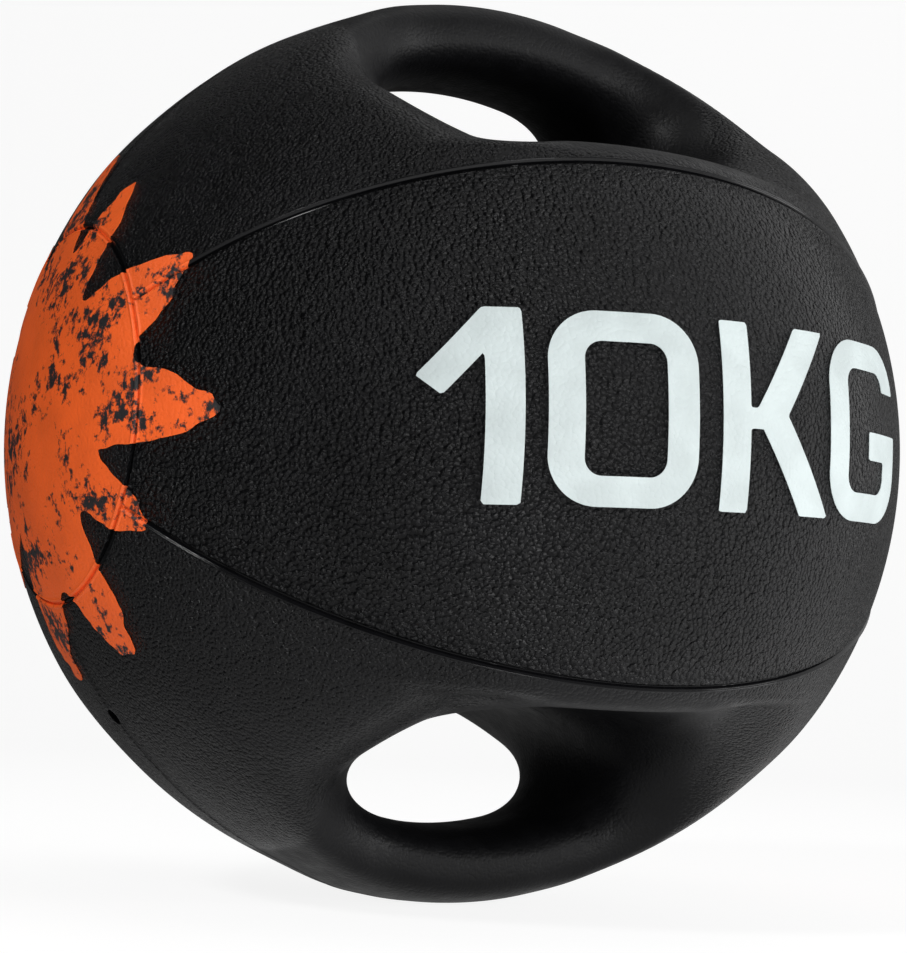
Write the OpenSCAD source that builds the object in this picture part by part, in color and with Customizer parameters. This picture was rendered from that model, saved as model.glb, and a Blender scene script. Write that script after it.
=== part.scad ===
// Double-grip rubber medicine ball, in millimetres.
// Origin at the ball's centre. X runs from pole to pole, the weight mark faces -Y,
// and the grips are at +Z and -Z.

/* [Ball] */
// Outside diameter of the ball
ball_d = 285; // [270:1:300]
// Thickness of the moulded rubber cover
cover_t = 5; // [4:0.5:6]
// Distance from the outside of the ball to its air space
wall_t = 36.5; // [32:0.5:42]
// Distance from a grip opening to the air space
opening_wall_t = 24.5; // [20:0.5:26]
// Wall thickness of the butyl bladder
bladder_t = 1.5; // [1:0.25:3]

/* [Grips] */
// Height of a grip opening's floor above the ball's centre
floor_z = 78; // [74:1:82]
// Length of a grip opening
opening_l = 138; // [120:1:144]
// Radius of the corners between an opening's floor and its ends
opening_corner_r = 16; // [8:1:20]
// Thickness of a grip bar, measured outwards from the ball's centre
bar_t = 24; // [20:0.5:28]
// Width of a grip bar, front to back
bar_w = 58; // [48:1:60]
// How far the middle of a grip bar stands out of the ball
bar_proud = 1; // [0:0.25:2]

/* [Seams] */
// Angle from the middle of the front panel to its upper or lower seam
seam_angle = 30.85; // [28:0.05:31]
// Angle from the pole to the seam round an end cap
cap_angle = 23.1; // [18:0.1:26]
// Width of a seam groove at the surface
groove_w = 2.4; // [1:0.1:4]

/* [Valve] */
// Angle from the left pole to the valve, along the lower parting line
valve_angle = 38.5; // [37:0.5:40]
// Diameter of the hole in the cover over the valve
valve_mouth_d = 5.4; // [4:0.1:7]
// Diameter of the needle bore in the self-sealing insert
needle_bore_d = 2.4; // [2:0.1:3]

/* [Prints] */
// Thickness of the printed ink
ink_t = 0.3; // [0.2:0.05:0.5]
// Height of the weight mark
mark_h = 53; // [40:1:60]
// Width of the weight mark's upright strokes
mark_stroke = 9.8; // [6:0.1:12]
// Thickness of the weight mark's level strokes
mark_level = 8.3; // [6:0.1:12]
// Distance from an end cap's centre to the tips of its print's rays
burst_r = 82; // [60:1:84]

/* [Hidden] */
$fn = 180;
ball_r = ball_d / 2;
reach = 2 * ball_d;          // longer than anything it has to cut
bond_gap = 0.1;              // cement line between one layer or panel and the next
opening_half = opening_l / 2;
bar_drop = 7.5;              // how far the bar's arc is centred off the ball's centre
bar_outer_r = ball_r + bar_proud - bar_drop;
bar_mid_r = bar_outer_r - bar_t / 2;
bar_crown_r = 60;            // radius of the bar's broad faces, across its width
bar_half_angle = 40;         // far enough for the bar's ends to be buried in the ball
groove_r = groove_w / 2;
bevel_depth = 16;            // how far the carcass's bevels lie inside the opening's sharp edges
bevel_reach = 40;            // longer than a bevel is wide
mark_z = 2;                  // height of the weight mark's middle
mark_tilt = 2;               // the weight mark's right end stands this much higher, degrees
flag_slope = 49;             // the flag of the figure one: its slope, length and width
flag_l = 25;
flag_w = 8;
mark_corner_r = 14;          // outside and inside corners of the nought and the letter g
mark_inner_r = 5;
burst_rays = 11;             // rays of an end cap's print

valve_mouth_depth = 4;       // recess behind the cover's hole
valve_insert_d = 6;
valve_insert_l = 14;
valve_stem_d = 12;
valve_flange_d = 24;
valve_flange_t = 2;
valve_neck_d = 5;
valve_neck_l = 7;
valve_air_d = 3;
valve_base_r = ball_r - wall_t;                  // where the valve's flange meets the bladder
valve_top_r = ball_r - cover_t - 2 * bond_gap;   // where its stem meets the cover

rubber_black = [0.07, 0.07, 0.075];
rubber_brown = [0.16, 0.14, 0.13];
butyl_grey = [0.25, 0.25, 0.27];
valve_grey = [0.35, 0.36, 0.38];
ink_white = [0.84, 0.89, 0.89];
ink_orange = [0.88, 0.34, 0.11];

// ---- Shapes that several pieces share -------------------------------------------------------

// Profile of a grip opening in the XZ plane, enlarged by grow; it runs on upwards out of the ball.
module opening_profile(grow) {
    half = opening_half + grow;
    low = floor_z - grow;
    r = opening_corner_r + grow;
    for (side = [-1, 1])
        translate([side * (half - r), low + r]) circle(r);
    translate([-(half - r), low]) square([2 * (half - r), reach]);
    translate([-half, low + r]) square([2 * half, reach]);
}

// Both grip openings, cut straight through from front to back.
module openings(grow) {
    for (side = [0, 1])
        mirror([0, 0, side])
            rotate([90, 0, 0]) linear_extrude(reach, center = true) opening_profile(grow);
}

// Section of a grip bar, reduced by shrink: rounded edges and two slightly crowned faces.
module bar_section(shrink) {
    r = bar_t / 2 - shrink;
    straight = bar_w / 2 - bar_t / 2;
    intersection() {
        union() {
            square([2 * r, 2 * straight], center = true);
            for (side = [-1, 1])
                translate([0, side * straight]) circle(r);
        }
        bar_faces(shrink);
    }
}

// The two crowned faces of a bar, as a lens wider than the bar.
module bar_faces(shrink) {
    offset_r = bar_crown_r - bar_t / 2;
    intersection() {
        translate([-offset_r, 0]) circle(bar_crown_r - shrink);
        translate([offset_r, 0]) circle(bar_crown_r - shrink);
    }
}

// Both grip bars, as arcs over the openings with their ends inside the ball.
module bars(shrink) {
    for (side = [0, 1])
        mirror([0, 0, side])
            translate([0, 0, bar_drop])
                rotate([90, 0, 0])
                    rotate_extrude(angle = 2 * bar_half_angle, start = 90 - bar_half_angle)
                        translate([bar_mid_r, 0]) bar_section(shrink);
}

// Outer shape: the ball with its openings and bars.
module outer_form() {
    difference() {
        sphere(ball_r);
        openings(0);
    }
    bars(0);
}

// Bevels along the ends of both openings, as rings round the X axis.
module opening_bevels(inset) {
    edge_angle = acos(opening_half / ball_r);
    edge = ball_r * [cos(edge_angle), sin(edge_angle)];
    out = [cos((180 + edge_angle) / 2), sin((180 + edge_angle) / 2)];
    along = [-out[1], out[0]];
    middle = edge - (bevel_depth + inset) * out;
    corners = [middle - bevel_reach * along, middle + bevel_reach * along, middle + bevel_reach * out];
    for (end = [0, 1], side = [0, 1])
        mirror([end, 0, 0]) mirror([0, 0, side])
            intersection() {
                rotate([0, 90, 0]) rotate_extrude()
                    polygon([for (p = corners) [p[1], p[0]]]);
                translate([0, -reach / 2, floor_z - inset]) cube(reach);
            }
}

// The shape under the cover: set back by inset, with its edges bevelled at the ends of the openings.
module core_form(inset) {
    difference() {
        sphere(ball_r - inset);
        openings(inset);
        opening_bevels(inset);
    }
    bars(inset);
}

// The air space, reduced by shrink: a smaller sphere, flattened beside the openings.
module air_space(shrink) {
    difference() {
        sphere(ball_r - wall_t - shrink);
        openings(opening_wall_t + shrink);
    }
}

// Everything inside two planes that meet at the X axis, centred on +Z.
module wedge(half_angle) {
    apex = bond_gap / 2 / sin(half_angle);
    rotate([90, 0, 90]) linear_extrude(reach, center = true)
        polygon([
            [0, apex],
            [reach * tan(half_angle), reach + apex],
            [-reach * tan(half_angle), reach + apex]
        ]);
}

// Cone from the ball's centre that cuts out the left end cap, moved outwards by shift.
module cap_cone(shift) {
    translate([-shift, 0, 0])
        rotate([0, -90, 0]) cylinder(h = reach, r1 = 0, r2 = reach * tan(cap_angle));
}

module both_cap_cones() {
    for (side = [0, 1])
        mirror([side, 0, 0]) cap_cone(-bond_gap / 2 / sin(cap_angle));
}

// Grooves along the two long edges of a panel that is centred on +Z, from cap to cap.
module long_grooves(half_angle) {
    overrun = 1;
    for (side = [-1, 1])
        rotate([90 + side * half_angle, 0, 0])
            rotate_extrude(angle = 180 - 2 * (cap_angle - overrun), start = cap_angle - overrun)
                translate([ball_r, 0]) circle(groove_r);
}

// Grooves round both end caps.
module cap_grooves() {
    for (side = [-1, 1])
        translate([side * ball_r * cos(cap_angle), 0, 0])
            rotate([0, 90, 0])
                rotate_extrude() translate([ball_r * sin(cap_angle), 0]) circle(groove_r);
}

// Puts children drawn along +Z on the valve's axis, +Z pointing out of the ball.
module on_valve_axis() {
    rotate([0, -90 - valve_angle, 0]) children();
}

// Shell of ink that lies just clear of the cover.
module ink_shell() {
    difference() {
        sphere(ball_r + bond_gap + ink_t);
        sphere(ball_r + bond_gap);
    }
}

// ---- Cover ----------------------------------------------------------------------------------

module belt_panel() {
    difference() {
        intersection() {
            difference() {
                sphere(ball_r);
                sphere(ball_r - cover_t);
            }
            wedge(seam_angle);
        }
        both_cap_cones();
        long_grooves(seam_angle);
        cap_grooves();
    }
}

module grip_panel() {
    difference() {
        intersection() {
            difference() {
                outer_form();
                core_form(cover_t);
            }
            wedge(90 - seam_angle);
        }
        both_cap_cones();
        long_grooves(90 - seam_angle);
        cap_grooves();
    }
}

module end_cap() {
    difference() {
        intersection() {
            difference() {
                sphere(ball_r);
                sphere(ball_r - cover_t);
            }
            cap_cone(bond_gap / 2 / sin(cap_angle));
        }
        cap_grooves();
    }
}

module front_panel() { color(rubber_black) rotate([90, 0, 0]) belt_panel(); }

module rear_panel() { color(rubber_black) rotate([-90, 0, 0]) belt_panel(); }

module upper_grip_panel() { color(rubber_black) grip_panel(); }

module lower_grip_panel() {
    color(rubber_black) difference() {
        mirror([0, 0, 1]) grip_panel();
        on_valve_axis() cylinder(h = reach, d = valve_mouth_d);
    }
}

module left_end_cap() { color(rubber_black) end_cap(); }

module right_end_cap() { color(rubber_black) mirror([1, 0, 0]) end_cap(); }

// ---- Carcass, bladder and valve --------------------------------------------------------------

// Front half of the heavy rubber carcass, including the cores of the grip bars.
module half_carcass() {
    difference() {
        core_form(cover_t + bond_gap);
        air_space(0);
        translate([-reach / 2, -bond_gap / 2, -reach / 2]) cube(reach);
        on_valve_axis() cylinder(h = reach, d = valve_stem_d + 2 * bond_gap);
        on_valve_axis()
            cylinder(h = valve_base_r + valve_flange_t + bond_gap, d = valve_flange_d + 2 * bond_gap);
    }
}

module front_carcass() { color(rubber_brown) half_carcass(); }

module rear_carcass() { color(rubber_brown) mirror([0, 1, 0]) half_carcass(); }

module bladder() {
    color(butyl_grey) difference() {
        air_space(2 * bond_gap);
        air_space(2 * bond_gap + bladder_t);
        on_valve_axis() cylinder(h = reach, d = valve_neck_d + 2 * bond_gap);
    }
}

module valve_body() {
    insert_base = valve_top_r - valve_mouth_depth - valve_insert_l;
    color(valve_grey) on_valve_axis() difference() {
        union() {
            translate([0, 0, valve_base_r]) cylinder(h = valve_top_r - valve_base_r, d = valve_stem_d);
            translate([0, 0, valve_base_r]) cylinder(h = valve_flange_t, d = valve_flange_d);
            translate([0, 0, valve_base_r - valve_neck_l]) cylinder(h = valve_neck_l, d = valve_neck_d);
        }
        cylinder(h = reach, d = valve_air_d);
        translate([0, 0, insert_base]) cylinder(h = reach, d = valve_insert_d);
    }
}

module valve_insert() {
    top = valve_top_r - valve_mouth_depth;
    color(rubber_black) on_valve_axis() difference() {
        translate([0, 0, top - valve_insert_l]) cylinder(h = valve_insert_l, d = valve_insert_d);
        cylinder(h = reach, d = needle_bore_d);
    }
}

// ---- Prints ---------------------------------------------------------------------------------

// A stroke from one point to another, cut square at both ends.
module stroke(a, b, w) {
    run = b - a;
    translate(a) rotate(atan2(run[1], run[0]))
        translate([0, -w / 2]) square([norm(run), w]);
}

// A rounded block whose lower left corner is at the origin.
module round_block(w, h, r) {
    for (x = [r, w - r], y = [r, h - r])
        translate([x, y]) circle(r);
    translate([0, r]) square([w, h - 2 * r]);
    translate([r, 0]) square([w - 2 * r, h]);
}

// A rounded frame with upright and level strokes, standing on the base line.
module round_frame(w) {
    difference() {
        round_block(w, mark_h, mark_corner_r);
        translate([mark_stroke, mark_level])
            round_block(w - 2 * mark_stroke, mark_h - 2 * mark_level, mark_inner_r);
    }
}

module figure_one() {
    top_corner = [mark_h * 0.52 - mark_stroke, mark_h];
    flag_run = [cos(flag_slope), sin(flag_slope)];
    flag_tip = top_corner - flag_l * flag_run;
    polygon([
        top_corner,
        flag_tip,
        flag_tip + flag_w * [flag_run[1], -flag_run[0]],
        top_corner - [0, flag_w / cos(flag_slope)],
        [top_corner[0], 0],
        [top_corner[0] + mark_stroke, 0],
        [top_corner[0] + mark_stroke, mark_h],
    ]);
}

module figure_nought() { round_frame(mark_h * 0.82); }

module letter_k() {
    square([mark_stroke, mark_h]);
    translate([mark_stroke / 2, mark_h * 0.44]) square([mark_h * 0.3, mark_h * 0.11]);
    intersection() {
        square([mark_h, mark_h]);
        union() {
            stroke([mark_h * 0.28, mark_h * 0.44], [mark_h * 0.7, mark_h * 1.06], mark_stroke * 1.07);
            stroke([mark_h * 0.31, mark_h * 0.56], [mark_h * 0.745, -mark_h * 0.06], mark_stroke * 1.07);
        }
    }
}

module letter_g() {
    width = mark_h * 0.8;
    difference() {
        round_frame(width);
        translate([width - 1.2 * mark_stroke, mark_h * 0.5]) square([2 * mark_stroke, mark_h * 0.24]);
    }
    translate([width * 0.52, mark_h * 0.5 - mark_level]) square([width * 0.48 - 0.1, mark_level]);
}

module weight_outline() {
    translate([-79, 0]) figure_one();
    translate([-45.5, 0]) figure_nought();
    translate([6, 0]) letter_k();
    translate([49.5, 0]) letter_g();
}

module weight_mark() {
    color(ink_white) intersection() {
        ink_shell();
        rotate([90, 0, 0])
            linear_extrude(reach) translate([0, mark_z]) rotate(mark_tilt)
                translate([0, -mark_h / 2]) weight_outline();
    }
}

// Distance from the cap's centre to the edge of its print, at angle a round the X axis.
function burst_rim(a) =
    burst_r * (0.74 + 0.17 * sin(burst_rays * a + 30 * sin(3 * a)) + 0.09 * sin(4 * a + 50));

// A splash of ink with uneven rays, seen along the X axis.
module burst_outline() {
    step = 4;
    polygon([for (a = [0 : step : 360 - step]) burst_rim(a) * [cos(a), sin(a)]]);
}

module burst_print() {
    color(ink_orange) intersection() {
        ink_shell();
        rotate([0, -90, 0]) linear_extrude(reach) burst_outline();
    }
}

module front_weight_mark() { weight_mark(); }

module rear_weight_mark() { rotate([0, 0, 180]) weight_mark(); }

module left_cap_print() { burst_print(); }

module right_cap_print() { mirror([1, 0, 0]) burst_print(); }

front_panel();
rear_panel();
upper_grip_panel();
lower_grip_panel();
left_end_cap();
right_end_cap();
front_carcass();
rear_carcass();
bladder();
valve_body();
valve_insert();
front_weight_mark();
rear_weight_mark();
left_cap_print();
right_cap_print();
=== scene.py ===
"""Looks of a rubber medicine ball with two grips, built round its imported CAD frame.

Geometry is worked out in millimetres about the ball's centre and turned into metres when a mesh is made.
Places on the ball are given by two angles: theta, from the +X pole, and phi, round the X axis,
with 0 at the front (-Y) and 90 degrees at the top (+Z).
"""
import math

import bmesh
import bpy
import numpy as np
from mathutils import Matrix, Vector


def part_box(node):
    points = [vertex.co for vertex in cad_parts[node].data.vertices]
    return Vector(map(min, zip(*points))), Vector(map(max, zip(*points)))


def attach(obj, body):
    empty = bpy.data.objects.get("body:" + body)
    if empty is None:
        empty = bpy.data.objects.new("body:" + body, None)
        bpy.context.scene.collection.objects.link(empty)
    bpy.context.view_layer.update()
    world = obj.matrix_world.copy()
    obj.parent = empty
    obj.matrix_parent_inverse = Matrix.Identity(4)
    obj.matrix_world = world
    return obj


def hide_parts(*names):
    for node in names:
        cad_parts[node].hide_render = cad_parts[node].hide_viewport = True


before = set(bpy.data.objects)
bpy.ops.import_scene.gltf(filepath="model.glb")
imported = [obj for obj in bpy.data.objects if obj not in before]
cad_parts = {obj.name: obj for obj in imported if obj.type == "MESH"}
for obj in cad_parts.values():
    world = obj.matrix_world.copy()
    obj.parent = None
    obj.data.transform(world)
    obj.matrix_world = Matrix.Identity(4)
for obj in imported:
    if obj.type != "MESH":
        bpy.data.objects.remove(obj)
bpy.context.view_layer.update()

MM = 0.001

# ---- Sizes, in millimetres and radians -------------------------------------------------------

BALL_R = -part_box("front_panel")[0][1] / MM
BAR_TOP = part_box("upper_grip_panel")[1][2] / MM  # the middle of a grip bar, the ball's highest point
CAP_ANGLE = math.radians(23.1)           # from a pole to the seam round its end cap
SEAM_ANGLE = math.radians(30.85)         # from the middle of the front panel to its upper seam
FLOOR_Z = 79.7                           # the middle of a grip opening's floor
FLOOR_BOW = 3.3                          # how far the floor falls away 60 mm from its middle
OPENING_HALF = 59.1                      # half an opening's length where it is narrowest
OPENING_CORNER_R = 38.5
BAR_T = 24.5
BAR_W = 53.6                             # before the blends at its roots widen it
BAR_DROP = 7.8                           # the bar's arc is centred this far off the ball's centre
BAR_ROUNDNESS = 2.64                     # exponent of the bar's section: 2 is an ellipse
SKIN_T = 4.0                             # thickness of the cover's panels
LIP_BLEND = 6.7                          # rounding where an opening's floor meets the ball
END_BLEND = 35.8                         # rounding where an opening's ends meet the ball
ROOT_BLEND = 36.0                        # flare at the roots of a bar
END_BLEND_ALONG = (21, 48)               # it comes in between these distances from the middle plane
END_BLEND_ABOVE = (3, 17)                # and between these heights over the plane of the long seam
SAG = 1.0                                # the ball is this much flatter round its openings
SAG_Z = (75, 105)                        # the heights between which it flattens
CREST_RISE = 3.0                         # room for the middle of a bar to stand out of the ball
CREST_ALONG = 40                         # half the length and half the width of that room
CREST_ACROSS = 30
CREST_Z = (100, 125)                     # the heights between which it opens
SHAPE_BLEND = 3                          # rounding where the bars' crests meet the ball

OUTER_SPACING = 1.7                      # distance between the points of the panels' skins
INNER_SPACING = 3.4
SHARP_ANGLE = math.radians(50)           # edges sharper than this aren't smoothed

GROOVE_HALF = 0.65                       # half the width of a seam groove
GROOVE_DEPTH = 0.9
BEAD_MIDDLE = 1.15                       # from a seam to the top of the bead beside it
BEAD_HALF = 0.55
SEAM_BEAD = 0.48                         # height of the bead along the grip panels' edges
BELT_BEAD = 0.08
CAP_BEAD = 0.25
SEAM_LOOPS = (0.2, 0.35, 0.5, 0.62, 0.75, 0.88, 1.0, 1.12, 1.25, 1.4, 1.55, 1.75, 2.2, 3.2, 5.0)
PARTING_HEIGHT = 0.22                    # the moulding's flash line, in the plane y = 0
PARTING_LOOPS = (0.0, 0.3, 0.65, 1.1)
HAIRLINE = 0.05                          # half the gap between two panels
MERGE = 0.03                             # vertices closer than this are one
RIM_REACH = HAIRLINE + MERGE + 0.004     # a panel's rim lies this close to its seam
CAP_THETAS = (CAP_ANGLE, math.pi - CAP_ANGLE)

VALVE_ANGLE = math.radians(38.5)         # from the -X pole, along the lower parting line
VALVE_MOUTH_R = 2.7

MARK_H = 53.0
MARK_STROKE = 9.8                        # width of upright strokes
MARK_LEVEL = 8.3                         # thickness of level strokes
MARK_CORNER_R = 14.0
MARK_INNER_R = 5.0
MARK_Z = 2.0
MARK_TILT = 2.0                          # the mark's right end stands this much higher, degrees
FLAG_SLOPE = 49.0                        # the flag of the figure one: its slope, length and width
FLAG_L = 25.0
FLAG_W = 8.0
INK_LIFT = 0.06                          # underside of the ink above the rubber
INK_T = 0.18
INK_MERGE = 0.02                         # points of a print closer than this are one
BURST_R = 82.0
BURST_RAYS = 11

MOULDED_SLOTS = ("belt_rubber", "grip_rubber", "cap_rubber")
GRAIN_ATTRIBUTE = "grain"
GRAIN_ON_BARS = 0.1                      # strength of the grain in the openings and on the bars
GRAIN_FADE = (1, 16)                     # it grows to its full strength this far from an opening
SMOOTH_EDGE = 0.6                        # and within this distance of a seam's smooth band
BAR_DULLNESS = 0.2                       # added to the roughness where the grain is faint
SEAM_GLOSS = 0.55                        # share of the roughness left where there is no grain
RUBBER_SHINE = 0.17                      # the rubber's specular level

VIEW_AZIMUTH = math.radians(-28.65)
VIEW_ELEVATION = math.radians(-5.36)
VIEW_ROLL = math.radians(2.54)
VIEW_DISTANCE = 0.7795
AIM_BELOW = 0.0078                       # the camera aims this far below the ball's centre
LENS_MM = 91.2

PAPER_GLOW = 0.87                        # light the floor and wall give off towards the camera
PAPER_BRIGHT = 1.7                       # the same towards the ball, on its right and on its left
PAPER_DIM = 0.02
AIR_BRIGHT = 0.9                         # light from the air on the ball's right and elsewhere
AIR_DIM = 0.03

STAGE_HALF_WIDTH = 1.4                   # the paper's sizes, in metres
STAGE_HALF_DEPTH = 1.2
STAGE_CURVE_R = 0.8
STAGE_HEIGHT = 1.6


# ---- Shape of the ball, as a signed distance -------------------------------------------------

def smooth_max(a, b, width):
    """The larger of a and b, rounded where they are closer than width."""
    overlap = np.maximum(width - np.abs(a - b), 0) / width
    return np.maximum(a, b) + overlap * overlap * width / 4


def smooth_step(value, low, high):
    t = np.clip((value - low) / (high - low), 0, 1)
    return t * t * (3 - 2 * t)


def opening_distance(x, z):
    """Distance to a grip opening's outline in the XZ plane, negative inside."""
    floor = FLOOR_Z - FLOOR_BOW * (x / 60) ** 2
    past_end = x - (OPENING_HALF - OPENING_CORNER_R)
    below = floor + OPENING_CORNER_R - z
    outside = np.hypot(np.maximum(past_end, 0), np.maximum(below, 0))
    return outside + np.minimum(np.maximum(past_end, below), 0) - OPENING_CORNER_R


def bar_distance(x, y, z):
    """Distance to a grip bar: an arc with a rounded, flattish section."""
    mid_r = BAR_TOP - BAR_DROP - BAR_T / 2
    u = np.abs(np.hypot(x, z - BAR_DROP) - mid_r) / (BAR_T / 2)
    v = y / (BAR_W / 2)
    n = BAR_ROUNDNESS
    size = (u ** n + v ** n + 1e-12) ** (1 / n)
    steepness = size ** (1 - n) * np.hypot(u ** (n - 1) * 2 / BAR_T, v ** (n - 1) * 2 / BAR_W)
    return (size - 1) / np.maximum(steepness, 1 / BAR_W)


def ball_distance(points):
    """Distance to the finished outer shape, which is the same in all eight octants."""
    x, y, z = (np.abs(points[..., i]) for i in range(3))
    from_centre = np.sqrt(x * x + y * y + z * z)
    above_seam = z * math.cos(SEAM_ANGLE) - y * math.sin(SEAM_ANGLE)
    end_share = smooth_step(x, *END_BLEND_ALONG) * smooth_step(above_seam, *END_BLEND_ABOVE)
    blend = LIP_BLEND + (END_BLEND - LIP_BLEND) * end_share
    body = smooth_max(from_centre - BALL_R, -opening_distance(x, z), blend)
    shape = -smooth_max(-body, -bar_distance(x, y, z), ROOT_BLEND)
    crest = np.exp(-(x / CREST_ALONG) ** 4 - (y / CREST_ACROSS) ** 2) * smooth_step(z, *CREST_Z)
    rise = (CREST_RISE + SAG) * crest - SAG * smooth_step(z, *SAG_Z)
    return smooth_max(shape, from_centre - BALL_R - rise, SHAPE_BLEND)


def ball_normal(points):
    """Slope of the distance at each point: it points outwards, and is about 1 long."""
    step = 0.05
    slope = np.empty_like(points)
    for i in range(3):
        ahead = points.copy()
        behind = points.copy()
        ahead[..., i] += step
        behind[..., i] -= step
        slope[..., i] = (ball_distance(ahead) - ball_distance(behind)) / (2 * step)
    return slope


def settle(points, depth=0.0):
    """Moves points onto the surface that lies depth inside the ball."""
    for _ in range(5):
        slope = ball_normal(points)
        gap = ball_distance(points) + depth
        points = points - slope * (gap / np.sum(slope * slope, axis=-1))[..., None]
    return points


def angles(points):
    """Theta and phi of each point."""
    x, y, z = points[..., 0], points[..., 1], points[..., 2]
    return np.arctan2(np.hypot(y, z), x), np.arctan2(z, -y)


def on_sphere(theta, phi, radius):
    across = np.sin(theta)
    return radius * np.stack([np.cos(theta), -across * np.cos(phi), across * np.sin(phi)], axis=-1)


def outward_from_centre(points):
    return points / np.linalg.norm(points, axis=1)[:, None]


# ---- Seams -----------------------------------------------------------------------------------

def groove_profile(distance):
    """Depth of a rounded groove at a distance from its seam."""
    return -GROOVE_DEPTH * (1 - smooth_step(distance, 0.15, GROOVE_HALF))


def bead_profile(distance, height):
    """Height of the rounded bead that runs beside a groove."""
    across = np.clip((distance - BEAD_MIDDLE) / BEAD_HALF, -1, 1)
    return height * (1 + np.cos(math.pi * across)) / 2


def seam_places(points):
    """Distance to the nearest cap seam and long seam, and how far inside a grip panel a point lies."""
    theta, phi = angles(points)
    radius = np.linalg.norm(points, axis=-1)
    from_pole = np.minimum(theta, math.pi - theta)
    to_cap = radius * np.abs(from_pole - CAP_ANGLE)
    past_seam = (math.pi / 2 - SEAM_ANGLE) - np.abs(np.abs(phi) - math.pi / 2)
    to_seam = radius * np.sin(theta) * np.sin(np.minimum(np.abs(past_seam), math.pi / 2))
    return to_cap, np.where(from_pole < CAP_ANGLE, np.inf, to_seam), past_seam


def seam_distance(points):
    to_cap, to_seam, _ = seam_places(points)
    return np.minimum(to_cap, to_seam)


def seam_height(points):
    """How far the grooves and their beads move the surface outwards."""
    to_cap, to_seam, past_seam = seam_places(points)
    bead = np.where(past_seam > 0, SEAM_BEAD, BELT_BEAD)
    grooves = np.minimum(groove_profile(to_cap), groove_profile(to_seam))
    return grooves + np.maximum(bead_profile(to_cap, CAP_BEAD), bead_profile(to_seam, bead))


def parting_height(points):
    """The thin flash line in the plane y = 0, which the front and rear panels don't have."""
    return PARTING_HEIGHT * np.exp(-(points[..., 1] / 0.45) ** 2)


# ---- Mesh tools ------------------------------------------------------------------------------

def crossed_edges(value, axis_index):
    """The grid's edges along an axis that cross the surface, where they do, and whether outwards."""
    count = len(value)
    first = [slice(None)] * 3
    second = [slice(None)] * 3
    first[axis_index] = slice(0, count - 1)
    second[axis_index] = slice(1, count)
    low, high = value[tuple(first)], value[tuple(second)]
    edges = np.argwhere((low < 0) != (high < 0))
    start = low[tuple(edges.T)]
    places = edges.astype(float)
    places[:, axis_index] += start / (start - high[tuple(edges.T)])
    return edges, places, start < 0


def cells_beside(edges, u, v, du, dv):
    """The cells that lie du and dv steps back from the given edges, along the axes u and v."""
    cells = edges.copy()
    cells[:, u] -= du
    cells[:, v] -= dv
    return cells


def net_points(crossings, size, spacing):
    """One point in each cell that the surface crosses, in the middle of the places it crosses."""
    total = np.zeros(size + (3,))
    hits = np.zeros(size)
    for axis_index, (edges, places, _) in enumerate(crossings):
        u, v = [i for i in range(3) if i != axis_index]
        for du in (0, 1):
            for dv in (0, 1):
                cells = cells_beside(edges, u, v, du, dv)
                good = np.all((cells >= 0) & (cells < size[0]), axis=1)
                np.add.at(total, tuple(cells[good].T), places[good])
                np.add.at(hits, tuple(cells[good].T), 1)
    used = np.argwhere(hits > 0)
    number = -np.ones(size, dtype=int)
    number[tuple(used.T)] = np.arange(len(used))
    middle = total[tuple(used.T)] / hits[tuple(used.T)][:, None]
    return (middle - 0.5) * spacing, number, used == 0


def net_quads(crossings, number):
    """A quad round each crossed edge, between the points of the four cells beside it."""
    size = len(number)
    quads = []
    for axis_index, (edges, _, outwards) in enumerate(crossings):
        u, v = [(axis_index + 1) % 3, (axis_index + 2) % 3]
        beside = edges[:, [u, v]]
        good = np.all((beside >= 1) & (beside < size), axis=1)
        edges, outwards = edges[good], outwards[good]
        around = [cells_beside(edges, u, v, du, dv) for du, dv in ((1, 1), (0, 1), (0, 0), (1, 0))]
        quad = np.stack([number[tuple(cells.T)] for cells in around], axis=1)
        quad[~outwards] = quad[~outwards][:, ::-1]
        quads.append(quad)
    return np.concatenate(quads)


def surface_net(spacing, depth):
    """Quads over one octant of the surface that lies depth inside the ball."""
    count = int(BALL_R * 1.04 / spacing) + 2
    axis = (np.arange(count) - 0.5) * spacing
    grid = np.stack(np.meshgrid(axis, axis, axis, indexing="ij"), axis=-1)
    value = ball_distance(grid) + depth
    crossings = [crossed_edges(value, axis_index) for axis_index in range(3)]
    points, number, on_plane = net_points(crossings, (count - 1,) * 3, spacing)
    points[on_plane] = 0
    points = settle(points, depth)
    points[on_plane] = 0
    return points, net_quads(crossings, number)


def mirrored(points, faces, axes):
    """Adds mirror images across the planes of the given axes, turning their faces over."""
    for i in axes:
        flip = np.ones(3)
        flip[i] = -1
        faces = np.concatenate([faces, faces[:, ::-1] + len(points)])
        points = np.concatenate([points, points * flip])
    return points, faces


def grid_faces(rows, columns):
    """Quads between the points of a grid, numbered row by row."""
    index = np.arange(rows * columns).reshape(rows, columns)
    corners = [index[:-1, :-1], index[1:, :-1], index[1:, 1:], index[:-1, 1:]]
    return np.stack(corners, axis=-1).reshape(-1, 4)


def bmesh_from(points, faces, merge=1e-4):
    mesh = bpy.data.meshes.new("work")
    mesh.from_pydata(points.tolist(), [], [tuple(int(i) for i in face) for face in faces])
    bm = bmesh.new()
    bm.from_mesh(mesh)
    bpy.data.meshes.remove(mesh)
    bmesh.ops.remove_doubles(bm, verts=bm.verts, dist=merge)
    bm.verts.index_update()
    return bm


def coordinates(bm):
    bm.verts.index_update()
    return np.array([v.co for v in bm.verts])


def move_vertices(bm, points):
    for vertex, place in zip(bm.verts, points):
        vertex.co = place


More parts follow.
